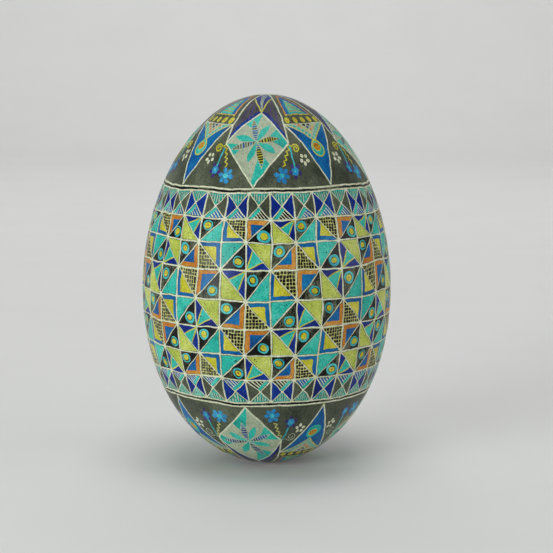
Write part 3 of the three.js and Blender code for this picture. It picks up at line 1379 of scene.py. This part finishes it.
def beeswax(name):
    surface = Surface(name)
    clouds = surface.noise(0.9, 5.0)
    colour = surface.mixed(surface.ramp(clouds, 0.35, 0.65), (196, 150, 62), (222, 184, 98))
    bloom = surface.ramp(surface.noise(0.4, 4.0, offset=5), 0.55, 0.72, 0.0, 0.45)
    colour = surface.mixed(bloom, colour, (233, 214, 160))
    strokes = surface.noise(0.3, 3.0, stretch=(1, 0.15, 1), offset=3)
    gloss = surface.ramp(clouds, 0.3, 0.7, 0.38, 0.55)
    return surface.close(
        Base_Color=colour, Roughness=gloss, Normal=surface.bump(strokes, 0.06, 0.7),
        Subsurface_Weight=0.3, Subsurface_Scale=1.5 * MM,
    )


# Each dye: the piece's name, then its colour where it took well, thinly and deeply.
DYES = {
    "turquoise": ("turquoise_dye", (38, 171, 153), (84, 196, 176), (16, 136, 124)),
    "cyan": ("sky_blue_dye", (56, 172, 176), (96, 200, 196), (30, 140, 150)),
    "teal": ("teal_dye", (18, 92, 92), (34, 116, 110), (8, 66, 70)),
    "lime": ("lime_dye", (176, 187, 80), (200, 207, 120), (140, 158, 50)),
    "yellow": ("yellow_dye", (188, 183, 46), (208, 202, 92), (160, 150, 28)),
    "blue": ("blue_dye", (0, 90, 150), (22, 120, 166), (0, 58, 112)),
    "blue_light": ("light_blue_dye", (34, 124, 176), (70, 158, 198), (14, 88, 146)),
    "navy": ("navy_dye", (0, 33, 118), (14, 62, 142), (0, 16, 74)),
    "orange": ("orange_dye", (184, 118, 34), (204, 154, 80), (152, 84, 20)),
    "black": ("black_dye", (14, 14, 10), (112, 116, 92), (4, 4, 3)),
    "olive": ("olive_dye", (70, 76, 60), (96, 102, 82), (46, 51, 40)),
    "plum": ("plum_dye", (62, 58, 64), (86, 82, 90), (42, 38, 44)),
    "plum_light": ("violet_dye", (60, 46, 112), (84, 70, 138), (40, 30, 82)),
    "net": ("pale_olive_dye", (184, 182, 108), (202, 200, 138), (150, 148, 80)),
    "ground": ("grey_green_dye", (162, 172, 146), (182, 190, 164), (136, 150, 124)),
}

# ---- putting the egg together ----

BLOW_HOLE_RIM = EGG_DOWN - down_at_radius(BLOW_HOLE_RADIUS, 0.0)

patches = [cell.laid() for cell in band_cells()]
patches.append(drawn_cap(CAP_EDGE_DOWN, TOP_LOOK).laid(top=True))
bottom_cap = drawn_cap(EGG_DOWN - BOTTOM_CAP_EDGE_DOWN, BOTTOM_LOOK, BLOW_HOLE_RIM)
patches.append(bottom_cap.laid(top=False))

angle, down, triangles, labels, atlas = joined(patches)
angle, down = hand_drawn(angle, down)
points = on_egg(angle, down)
areas = 0.5 * np.linalg.norm(square_to(points, triangles), axis=1)
labels = absorb_specks(triangles, labels, areas, len(points))
tops = on_egg(angle, down, crest_depths(triangles, labels, points))
floors = on_egg(angle, down, LAYER_FLOOR_DEPTH)
sheet = (triangles, labels, atlas, tops, floors)

bare_lines = dye_layer("bare_wax_lines", "cream", sheet)
bare_lines.data.materials.append(bare_shell("bare_shell"))
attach(bare_lines, "root")
for colour, (name, *shades) in DYES.items():
    piece = dye_layer(name, colour, sheet)
    piece.data.materials.append(dyed(name, *shades))
    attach(piece, "root")

outer_felt = skin("outer_skin", (232, 224, 204), (196, 184, 156))
inner_felt = skin("inner_skin", (226, 214, 190), (188, 172, 142))
outer_skin = dried_skin("outer_skin", lambda down: OUTER_SKIN_DEPTH, 0.03, 31)
inner_skin = dried_skin("inner_skin", inner_skin_depth, 0.08, 32)
TURNED = (
    (shell_body(), raw_shell("raw_shell"), "dyed_shell", "eggshell"),
    (outer_skin, outer_felt, "outer_skin", "outer_membrane"),
    (inner_skin, inner_felt, "inner_skin", "inner_membrane"),
    (wax_plug(), beeswax("beeswax"), "beeswax", "wax_plug"),
)
for piece, material, slot, node in TURNED:
    piece.data.materials.append(material)
    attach(piece, "root")
    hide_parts(node)

# ---- the floor, the lights and the camera ----


def paper_floor():
    """A pale sheet of studio paper, swept up far behind the egg."""
    reach, bend, rise, width, steps = 0.9, 0.35, 1.1, 1.6, 12
    profile = [(-reach, 0.0), (reach, 0.0)]
    for i in range(1, steps + 1):
        turn = 0.5 * math.pi * i / steps
        profile.append((reach + bend * math.sin(turn), bend * (1 - math.cos(turn))))
    profile.append((reach + bend, rise))
    mesh = bpy.data.meshes.new("studio_floor")
    vertices = [(side * width, y, z + plug_low.z) for y, z in profile for side in (-1, 1)]
    faces = [(2 * i, 2 * i + 1, 2 * i + 3, 2 * i + 2) for i in range(len(profile) - 1)]
    mesh.from_pydata(vertices, [], faces)
    mesh.shade_smooth()
    floor = bpy.data.objects.new("studio_floor", mesh)
    bpy.context.scene.collection.objects.link(floor)
    surface = Surface("studio_paper")
    tone = surface.mixed(surface.noise(40, 2.0), (231, 230, 227), (236, 235, 232))
    gloss = surface.ramp(surface.noise(6, 2.0), 0.3, 0.7, 0.85, 0.95)
    mesh.materials.append(surface.close(Base_Color=tone, Roughness=gloss))


def soft_light(name, place, target, size, power, tint=(1, 1, 1)):
    light = bpy.data.lights.new(name, "AREA")
    light.shape = "RECTANGLE"
    light.size, light.size_y = size
    light.energy = power
    light.color = tint
    lamp = bpy.data.objects.new(name, light)
    lamp.location = place
    lamp.rotation_euler = (Vector(target) - Vector(place)).to_track_quat("-Z", "Y").to_euler()
    bpy.context.scene.collection.objects.link(lamp)


paper_floor()
egg_centre = Vector((0, 0, 0.5 * EGG_LENGTH * MM))
soft_light("key", (-0.56, -0.55, 0.07), egg_centre, (0.35, 0.45), 6.0, (0.95, 0.99, 1.0))
soft_light("top", (0.0, -0.1, 0.85), egg_centre, (0.5, 0.5), 2.3)
soft_light("backdrop", (0.0, 0.55, 0.8), (0, 1.1, 0), (0.9, 0.3), 3.0)
soft_light("fill", (0.75, -0.22, 0.10), egg_centre, (0.5, 0.35), 2.1)

world = bpy.data.worlds.new("studio")
world.use_nodes = True
background = world.node_tree.nodes["Background"]
background.inputs["Color"].default_value = (0.9, 0.95, 1.0, 1.0)
background.inputs["Strength"].default_value = 0.25
bpy.context.scene.world = world
bpy.context.scene.view_settings.view_transform = "Standard"

CAMERA_DISTANCE = 0.3985
CAMERA_ELEVATION = math.radians(8.6)
camera = bpy.data.cameras.new("camera")
camera.sensor_width = 36.0
camera.lens = 110.2
camera.shift_x = 0.0177
camera.shift_y = 0.0056
eye = bpy.data.objects.new("camera", camera)
view_line = Vector((0, -math.cos(CAMERA_ELEVATION), math.sin(CAMERA_ELEVATION)))
eye.location = egg_centre + CAMERA_DISTANCE * view_line
eye.rotation_euler = (egg_centre - eye.location).to_track_quat("-Z", "Y").to_euler()
bpy.context.scene.collection.objects.link(eye)
bpy.context.scene.camera = eye
